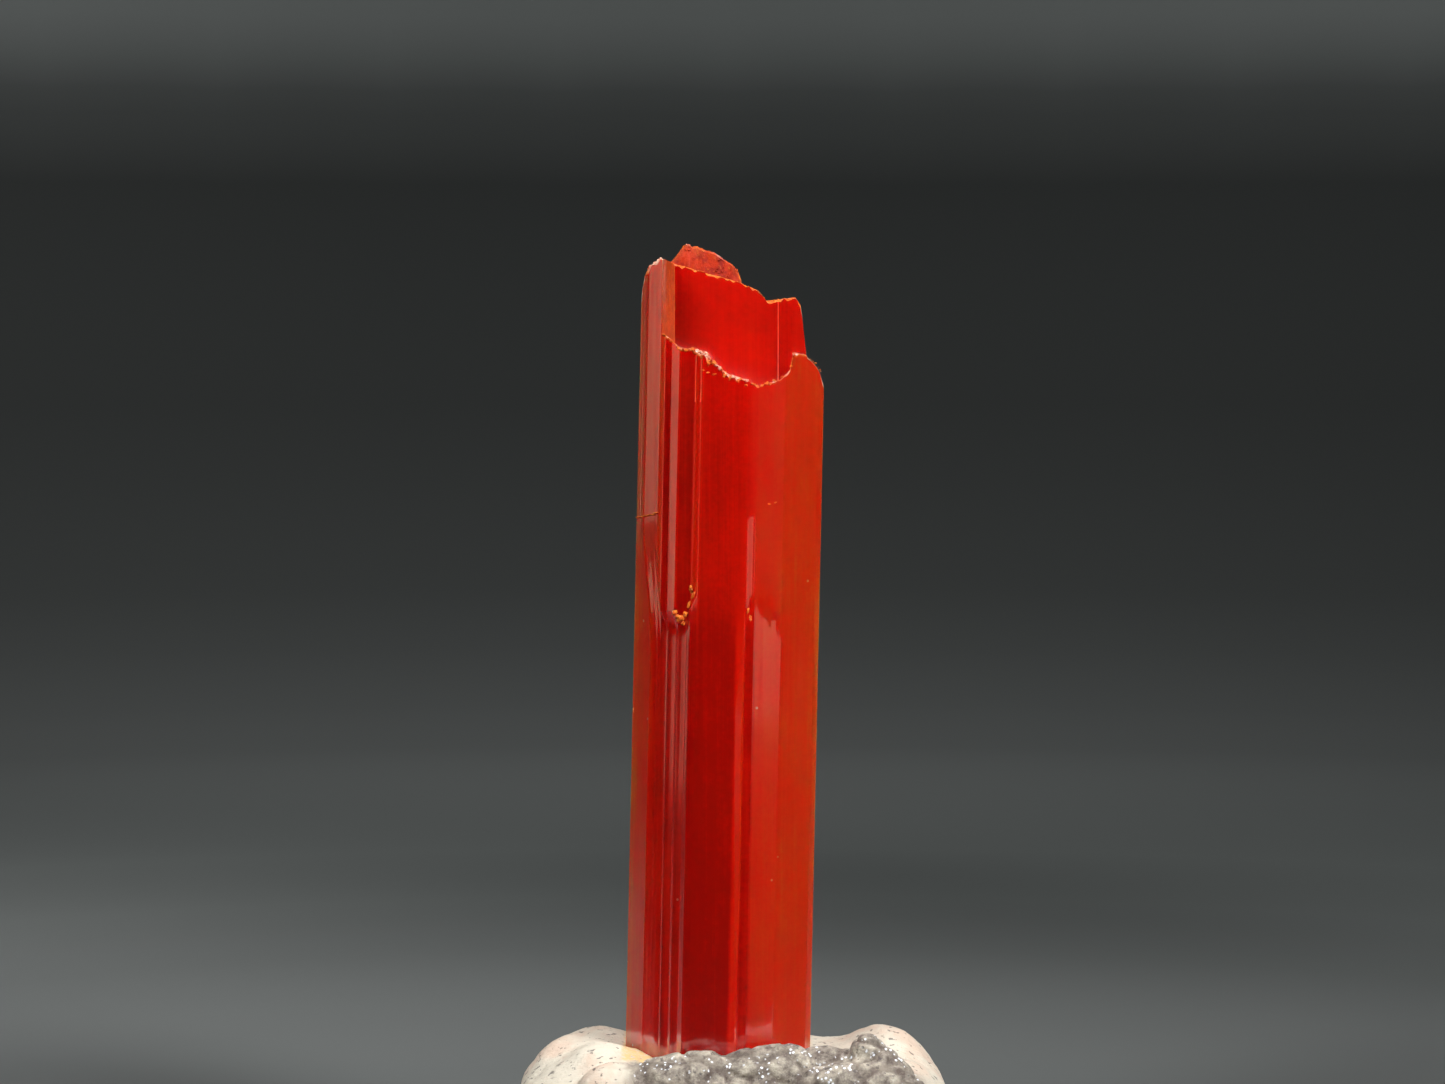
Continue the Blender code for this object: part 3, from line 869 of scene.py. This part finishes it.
def makeLump():
    nothingSelected()
    bpy.ops.mesh.primitive_ico_sphere_add(subdivisions=lump["subdivisions"], radius=mm)
    piece = active("puttyLump")
    ball = readPoints(piece)
    angle = np.arctan2(ball[:, 1], ball[:, 0])
    rise = np.arcsin(np.clip(ball[:, 2], -1, 1))
    up = rise > 0
    # crown: a superellipse from the belly to the top. Foot: in to the flat face below
    share = np.where(up, np.cos(rise) ** lump["crownCurve"], 1)
    tall = lump["topZ"] - lump["bellyZ"]
    z = np.where(up, lump["bellyZ"] + tall * np.abs(np.sin(rise)) ** lump["crownCurve"], 0)
    down = np.clip(-rise / (math.pi / 2), 0, 1)
    wall = np.clip(down / 0.45, 0, 1)
    footShare = 1 - (1 - lump["footShare"]) * wall**2
    flat = np.clip((1 - down) / 0.55, 0, 1)
    share = np.where(up, share, footShare * np.where(wall < 1, 1, flat))
    z = np.where(up, z, lump["bellyZ"] * (1 - wall) ** 1.3)
    radius = planRadius(angle) * share
    x = lump["halfWidth"] * np.cos(angle) * radius
    y = lump["halfDepth"] * np.sin(angle) * radius
    edge = np.linspace(0, 2 * math.pi, 721)
    rimX = lump["halfWidth"] * np.cos(edge) * planRadius(edge)
    rimY = lump["halfDepth"] * np.sin(edge) * planRadius(edge)
    x = x - (rimX.min() + rimX.max()) / 2
    y = y - (rimY.min() + rimY.max()) / 2
    crown = np.clip((z - lump["bellyZ"]) / tall, 0, 1)
    for bumpX, bumpY, reach, height in lump["bumps"]:
        z = z + crown * height * np.exp(-((x - bumpX) ** 2 + (y - bumpY) ** 2) / reach**2)
    movePoints(piece, np.column_stack([x, y, z]))
    outwardNormals()
    for x, y, z, halfX, halfY, halfZ, turn, tilt in lump["folds"]:
        nothingSelected()
        bpy.ops.mesh.primitive_ico_sphere_add(subdivisions=5, radius=mm, location=(x * mm, y * mm, z * mm),
                                              rotation=(0, math.radians(tilt), math.radians(turn)),
                                              scale=(halfX, halfY, halfZ))
        fold = active("fold")
        bpy.ops.object.transform_apply(location=True, rotation=True, scale=True)
        cutAway(piece, fold, "UNION")
    kneadSkin(piece)
    return piece


def kneadSkin(piece):
    nothingSelected()
    bpy.context.view_layer.objects.active = piece
    even = piece.modifiers.new("even", "REMESH")
    even.mode = "VOXEL"
    even.voxel_size = lump["voxel"] * mm
    bpy.ops.object.modifier_apply(modifier=even.name)
    points = readPoints(piece)
    normals = np.empty(len(points) * 3)
    piece.data.vertex_normals.foreach_get("vector", normals)
    relief = skinOf(points)[0] * settle(points[:, 2], 0.1, 0.8) * (0.6 + 0.4 * greyFrontOf(points))
    # nothing bulges past the lump's own width and depth
    room = np.maximum(np.abs(points[:, 0]) / lump["halfWidth"], np.abs(points[:, 1]) / lump["halfDepth"])
    relief = np.where(room > 0.97, np.minimum(relief, 0), relief)
    points += normals.reshape(-1, 3) * relief[:, None]
    points[:, 2] = np.where(points[:, 2] < 0.04, 0, points[:, 2])
    movePoints(piece, points)


def makePocketCutter():
    plan = sectionPlan(0.07, 0.12)[0][:, 1]
    nothingSelected()
    low, high = prism["footZ"] - lump["pocketGap"], 9.0
    bpy.ops.mesh.primitive_cylinder_add(vertices=len(plan), radius=2 * mm, depth=(high - low) * mm,
                                        location=(0, 0, (low + high) / 2 * mm))
    cutter = active("pocketCutter")
    bpy.ops.object.transform_apply(location=True, rotation=True, scale=True)
    points = readPoints(cutter)
    index = roundIndex(points, len(plan))
    z = points[:, 2]
    scale = sectionScale(z) + lump["pocketGap"] / 2.0
    points[:, 0] = axisX(z) + plan[index, 0] * scale
    points[:, 1] = plan[index, 1] * scale
    movePoints(cutter, points)
    outwardNormals()
    return cutter


def finishLump(piece):
    points = readPoints(piece)
    x, y, z = points.T
    away = np.hypot(np.maximum(np.abs(x - axisX(z)) - 2.05, 0), np.maximum(np.abs(y) - 1.75, 0))
    writeAttribute(piece, "dirty", greyFrontOf(points))
    # how far down in a crease, for the painted shade there
    writeAttribute(piece, "hollow", skinOf(points)[1])
    # painted glow on the putty's top right round the crystal's foot
    writeAttribute(piece, "stain", (1 - settle(away, 0.03, 0.12)) * settle(z, 3.2, 3.6))


def writeAttribute(piece, name, values, domain="POINT"):
    layer = piece.data.attributes.new(name, "FLOAT", domain)
    layer.data.foreach_set("value", values.astype(np.float32))


def smoothBelow(piece, degrees):
    nothingSelected()
    piece.select_set(True)
    bpy.context.view_layer.objects.active = piece
    bpy.ops.object.shade_smooth_by_angle(angle=math.radians(degrees))


# Make and dress the crystal

# painted reflections and shade: how warm the stone is painted, from 0, the darkest red, to 1, orange: by x
# from the axis, set to stand in for the bands that reflections make on its faces
paintedTones = {
    "upper": [(-2.08, 0.85), (-1.95, 0.70), (-1.86, 0.55), (-1.62, 0.52), (-1.52, 0.65), (-1.47, 0.12),
              (-1.37, 0.10), (-1.30, 0.42), (-1.18, 0.38), (-1.10, 0.06), (-0.85, 0.05), (-0.80, 0.45),
              (-0.66, 0.40), (-0.58, 0.16), (0.30, 0.18), (0.42, 0.26), (0.62, 0.42), (1.20, 0.50),
              (1.40, 0.56), (1.85, 0.60), (2.00, 0.68), (2.08, 0.82)],
    "lower": [(-2.08, 0.80), (-1.95, 0.62), (-1.72, 0.50), (-1.62, 0.30), (-1.45, 0.18), (-1.34, 0.26),
              (-1.28, 0.08), (-1.14, 0.30), (-1.04, 0.10), (-0.92, 0.26), (-0.78, 0.00), (0.18, 0.00),
              (0.26, 0.40), (0.38, 0.40), (0.44, 0.12), (0.62, 0.14), (0.68, 0.46), (1.20, 0.48),
              (1.40, 0.55), (1.85, 0.60), (2.00, 0.66), (2.08, 0.85)],
    # painted light on the breaks: the recess wall a brighter red, darker towards its left end, and the broken
    # top and its sides orange, partly the break's own colour and partly painted light
    "wall": 0.30,
    "wallEdge": 0.20,
    "brokenTop": 0.74,
    "side": 0.70,
    # painted glow on the breaks down the left side
    "sidePaintedGlow": 0.75,
}


# the painted reflection bands by x from the axis: the lower front's below the split, the upper front's above
def paintedBandsOf(points):
    x, y, z = points.T
    across = (x - axisX(z)) / sectionScale(z)
    share = settle(z, 12.6, 14.3)
    return onLine(paintedTones["upper"], across) * share + onLine(paintedTones["lower"], across) * (1 - share)


# where the crumbs are white: x, z and reach
chalkSpots = [(-1.75, 21.30, 0.22), (-1.60, 21.36, 0.14), (-0.29, 21.50, 0.13), (-1.01, 21.80, 0.08),
              (-0.70, 19.42, 0.16), (-0.58, 19.30, 0.12), (1.33, 19.34, 0.08), (-0.35, 19.00, 0.10),
              (0.05, 18.82, 0.10), (0.30, 18.75, 0.08), (0.85, 18.78, 0.06)]


def finishCrystal(piece):
    mesh = piece.data
    points = readPoints(piece)
    # the clean breaks are in the third slot, and the thin rims among them crumble too
    isBreak = np.zeros(len(mesh.polygons), dtype=bool)
    crumbly = np.zeros(len(mesh.polygons), dtype=bool)
    wallY = recess["wallY"]
    for face in mesh.polygons:
        if face.material_index == 0:
            continue
        isBreak[face.index] = True
        x, y, z = (value / mm for value in face.center)
        inward = y - frontOf(x, z)
        chip = 0.5 + 0.5 * noise.noise(Vector((x, y, z)) * 9)
        rim = 0.35 * onLine(recess["chamfer"], x) + 0.10 * chip
        onLip = recess["topFromZ"] < z < 20 and y < wallY - 0.1 and inward < rim and face.normal.z > 0.1
        onWall = 0.0 < y - wallY < 0.10 and z > 20 and face.normal.z > 0.2
        onCorner = x < -1.45 and z > 20.9 and inward < 0.10 + 0.08 * chip
        onShard = z > 20.7 and 0.3 < y < 0.75
        onSide = z > 19 and face.normal.x > 0.6 and x < -1
        crumbly[face.index] = face.material_index == 1 or onLip or onWall or onCorner or onShard or onSide
    mesh.polygons.foreach_set("material_index", crumbly.astype(np.int32))
    mesh.materials.pop(index=2)
    bpy.data.materials.remove(cleanBreak)
    # the values differ from face to face at an edge, so each face's corner has its own
    corners = np.empty(len(mesh.loops), dtype=np.int32)
    mesh.loops.foreach_get("vertex_index", corners)
    sides = np.empty(len(mesh.polygons), dtype=np.int32)
    mesh.polygons.foreach_get("loop_total", sides)
    normals = np.empty(len(mesh.polygons) * 3)
    mesh.polygons.foreach_get("normal", normals)
    face = np.repeat(np.arange(len(mesh.polygons)), sides)
    normal = normals.reshape(-1, 3)[face]
    x, y, z = points[corners].T
    frontBreak = (y <= recess["frontBreakY"]) & (np.abs(normal[:, 1]) >= 0.7)
    isTop = isBreak[face] & (z > recess["topFromZ"]) & ~frontBreak
    isWall = isTop & (np.abs(y - wallY) < 0.12) & (np.abs(normal[:, 1]) > 0.7)
    # painted reflection bands, then painted light on the top's breaks and on the recess wall
    tone = paintedBandsOf(points[corners])
    tone = np.where(isTop, paintedTones["brokenTop"], tone)
    tone = np.where(isTop & (np.abs(normal[:, 0]) > 0.6), paintedTones["side"], tone)
    edge = settle(-x, 0.85, 1.0)
    tone = np.where(isWall, paintedTones["wall"] * (1 - edge) + paintedTones["wallEdge"] * edge, tone)
    frost = 0.7 * settle(y, -0.4, 0.4)
    frost = np.where(isTop, np.where(isWall, 0.1, 1.0), frost)
    onEdge = settle(z, onLine(brokenTop["shard"], x) - 0.10, onLine(brokenTop["shard"], x))
    # painted glow on the shard's breaks at the back, less near its top edge; the left side's breaks get it too
    ember = settle(y, 0.2, 0.3) * settle(z, 20.6, 20.9) * (1 - 0.7 * onEdge)
    sideBreak = (x < -1) & (y > recess["frontBreakY"]) & (y < -0.35) & (z > 19) & (normal[:, 0] > 0.6)
    ember = np.where(sideBreak, paintedTones["sidePaintedGlow"], ember)
    chalk = np.zeros(len(face))
    for spotX, spotZ, reach in chalkSpots:
        chalk = np.maximum(chalk, 1 - settle(np.hypot(x - spotX, z - spotZ), reach * 0.6, reach))
    for name, values in (("broken", isTop & ~isWall), ("frost", frost), ("chalk", chalk), ("ember", ember),
                         ("tone", tone)):
        writeAttribute(piece, name, values, "CORNER")


crystal = makePrism()
print("prism:", len(crystal.data.polygons), "faces")
crystal.data.materials.append(crocoiteMaterial())
crumbs = crumbleMaterial()
crystal.data.materials.append(crumbs)
crystal.data.materials.append(cleanBreak)
cutAway(crystal, makeRecessCutter())
print("recess:", len(crystal.data.polygons), "faces")
cutAway(crystal, makeTopCutter())
print("top:", len(crystal.data.polygons), "faces")
cutAway(crystal, makeSplitCutter("sliverCutter", sliver))
cutAway(crystal, makeSplitCutter("scarCutter", scar))
cutAway(crystal, makeBits("chipCutter", chips))
crust = makeBits("crust", crumbsOf())
nothingSelected()
crust.select_set(True)
crystal.select_set(True)
bpy.context.view_layer.objects.active = crystal
bpy.ops.object.join()
print("sliver, scar, chips and crumbs:", len(crystal.data.polygons), "faces")
finishCrystal(crystal)
smoothBelow(crystal, 18)
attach(crystal, "root")
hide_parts("crocoite_crystal")

putty = makeLump()
putty.data.materials.clear()
putty.data.materials.append(puttyMaterial())
pocketCutter = makePocketCutter()
pocketCutter.data.materials.append(putty.data.materials[0])
cutAway(putty, pocketCutter)
finishLump(putty)
smoothBelow(putty, 60)
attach(putty, "root")
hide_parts("putty_lump")
print("putty:", len(putty.data.polygons), "faces")


# Studio

studio = {
    "floorRadius": 165.0,
    "wallTop": 170.0,
    "coveSegments": 10,
    # painted light and shade on the paper by distance from the axis: painted shade round the object, a painted
    # pool of light palest on the floor at 63, painted shade again up the cove, and a painted highlight on the
    # upright wall
    "paintedShades": [(12, 0.10), (17, 0.105), (26, 0.15), (38, 0.23), (50, 0.35), (63, 0.38), (79, 0.29),
               (101, 0.18), (112, 0.155), (130, 0.10), (145, 0.09), (156, 0.11), (159, 0.21), (161, 0.55),
               (165, 0.90)],
    "shadeColour": (0.95, 1.0, 0.985),
    "world": (0.055, 0.062, 0.060, 1),
    # name: direction round the object from the camera (degrees, to the right), distance, height,
    # height that it aims at, width, height, spread in degrees, radiance
    "softboxes": {
        "rightKey": (48, 72, 72, 13, 36, 36, 28, 1.85),
        "leftKey": (-50, 72, 72, 11, 36, 36, 28, 1.00),
        "overhead": (180, 20, 88, 6, 36, 36, 40, 0.6),
    },
    # panels that matt surfaces and the camera don't see, for the reflections in the stone
    "panels": {
        "leftPanel": (-126, 85, 38, 38, 30, 52, 120, 0.13),
        "leftStrip": (-106, 85, 30, 30, 22, 56, 120, 0.17),
        "leftEdge": (-57, 85, 30, 30, 15, 56, 120, 0.14),
        "rightStrip": (52, 85, 16, 16, 30, 28, 120, 0.16),
        "backPanel": (186, 88, 24, 14, 60, 44, 90, 0.35),
    },
    "panelColour": (1.0, 0.82, 0.58),
    # the soft light over the backdrop
    "backdropLight": ((-15, 115, 120), (-15, 115, 0), 160, 40, 80, 0.8),
}


def stageMaterial():
    material, tree, shader = newMaterial("studioPaper")
    place = Wire(tree).node("ShaderNodeTexCoord", output="Object")
    flat = place.node("ShaderNodeVectorMath", {"operation": "MULTIPLY"}, {0: place, 1: (1, 1, 0)})
    away = place.node("ShaderNodeVectorMath", {"operation": "LENGTH"}, {0: flat}, "Value")
    away = away * (1 / (studio["floorRadius"] * mm))
    stops = [(distance / studio["floorRadius"], (*(shade * part for part in studio["shadeColour"]), 1))
             for distance, shade in studio["paintedShades"]]
    colour = place.node("ShaderNodeValToRGB", {"stops": stops}, {"Fac": away})
    # painted shade on the camera's side: down to a fifth of that shade
    depth = place.node("ShaderNodeSeparateXYZ", None, {"Vector": place}, "Y")
    paintedFrontShade = 0.2 + depth.ramp(-14 * mm, 9 * mm) * 0.8
    colour = place.node("ShaderNodeVectorMath", {"operation": "SCALE"}, {0: colour, "Scale": paintedFrontShade})
    connect(shader, {"Base Color": colour, "Roughness": 1.0, "Specular IOR Level": 0.0})
    return material


def makeStage():
    nothingSelected()
    bpy.ops.mesh.primitive_circle_add(vertices=96, radius=studio["floorRadius"] * mm, fill_type="NGON")
    stage = active("studioFloor")
    bpy.ops.object.mode_set(mode="EDIT")
    bpy.ops.mesh.inset(thickness=70 * mm)
    bpy.ops.mesh.select_mode(type="EDGE")
    bpy.ops.object.mode_set(mode="OBJECT")
    selectEdges(stage, lambda low, high: min(low.length, high.length) > (studio["floorRadius"] - 1) * mm)
    bpy.ops.mesh.extrude_region_move(TRANSFORM_OT_translate={"value": (0, 0, studio["wallTop"] * mm)})
    bpy.ops.object.mode_set(mode="OBJECT")
    rim = studio["floorRadius"] * mm
    selectEdges(stage, lambda low, high: max(low.z, high.z) < mm and min(low.length, high.length) > rim - mm)
    bpy.ops.mesh.bevel(offset=60 * mm, segments=studio["coveSegments"], affect="EDGES")
    bpy.ops.object.mode_set(mode="OBJECT")
    stage.data.materials.append(stageMaterial())
    smoothBelow(stage, 40)


def addAreaLight(name, place, aim, wide, tall, spread, radiance):
    data = bpy.data.lights.new(name, "AREA")
    data.shape = "RECTANGLE"
    data.size, data.size_y = wide * mm, tall * mm
    data.spread = math.radians(spread)
    data.energy = radiance * math.pi * wide * tall * mm * mm
    light = bpy.data.objects.new(name, data)
    bpy.context.scene.collection.objects.link(light)
    light.location = Vector(place) * mm
    light.rotation_euler = (Vector(aim) - Vector(place)).to_track_quat("-Z", "Y").to_euler()
    light.visible_camera = False
    return light


def addSoftbox(name, turn, distance, height, aimHeight, wide, tall, spread, radiance):
    angle = math.radians(turn)
    place = (math.sin(angle) * distance, -math.cos(angle) * distance, height)
    return addAreaLight(name, place, (0, 0, aimHeight), wide, tall, spread, radiance)


def addLights():
    for name, values in studio["softboxes"].items():
        addSoftbox(name, *values)
    for name, values in studio["panels"].items():
        panel = addSoftbox(name, *values)
        panel.visible_diffuse = False
        panel.data.color = studio["panelColour"]
    addAreaLight("backdropLight", *studio["backdropLight"])
    world = bpy.data.worlds.new("studioWorld")
    world.use_nodes = True
    world.node_tree.nodes["Background"].inputs["Color"].default_value = studio["world"]
    bpy.context.scene.world = world
    bpy.context.scene.view_settings.view_transform = "Standard"


makeStage()
addLights()
print("studio lit")
